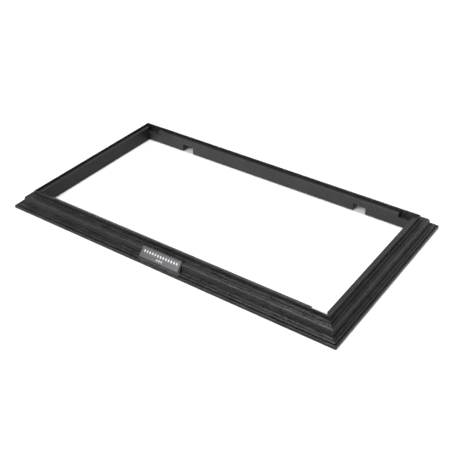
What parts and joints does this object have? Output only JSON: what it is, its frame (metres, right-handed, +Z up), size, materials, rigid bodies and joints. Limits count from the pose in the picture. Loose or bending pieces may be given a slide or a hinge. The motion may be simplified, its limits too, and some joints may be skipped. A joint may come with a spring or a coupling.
{
  "type": "display base frame",
  "caption": "Rectangular black moulded display base frame with mitred ogee rails, an inner liner with clip notches, a cover seat and a sloping name plate.",
  "frame": {"origin": "centre of the footprint on the table, at the underside of the feet", "axes": "+X along the long rails to the right as seen from the name plate, +Y from the name plate's rail to the opposite rail, +Z up"},
  "size_m": [0.35, 0.2, 0.0174],
  "materials": {
    "rail": "satin black, shallow moulded wood grain",
    "liner": "smooth matt dark grey",
    "bracket": "zinc plated",
    "screw": "zinc plated",
    "foot": "matt",
    "tape": "foam tape",
    "plate": "brushed, clear coated"
  },
  "bodies": {
    "root": {"front_rail": "rail", "right_rail": "rail", "back_rail": "rail", "left_rail": "rail", "front_liner": "liner", "right_liner": "liner", "back_liner": "liner", "left_liner": "liner", "corner_bracket_front_left": "bracket", "corner_bracket_front_right": "bracket", "corner_bracket_back_right": "bracket", "corner_bracket_back_left": "bracket", "bracket_screw_front_left_1": "screw", "bracket_screw_front_left_2": "screw", "bracket_screw_front_left_3": "screw", "bracket_screw_front_left_4": "screw", "bracket_screw_front_right_1": "screw", "bracket_screw_front_right_2": "screw", "bracket_screw_front_right_3": "screw", "bracket_screw_front_right_4": "screw", "bracket_screw_back_right_1": "screw", "bracket_screw_back_right_2": "screw", "bracket_screw_back_right_3": "screw", "bracket_screw_back_right_4": "screw", "bracket_screw_back_left_1": "screw", "bracket_screw_back_left_2": "screw", "bracket_screw_back_left_3": "screw", "bracket_screw_back_left_4": "screw", "foot_front_left": "foot", "foot_front_right": "foot", "foot_back_right": "foot", "foot_back_left": "foot", "name_plate_tape": "tape", "name_plate": "plate"}
  },
  "joints": []
}
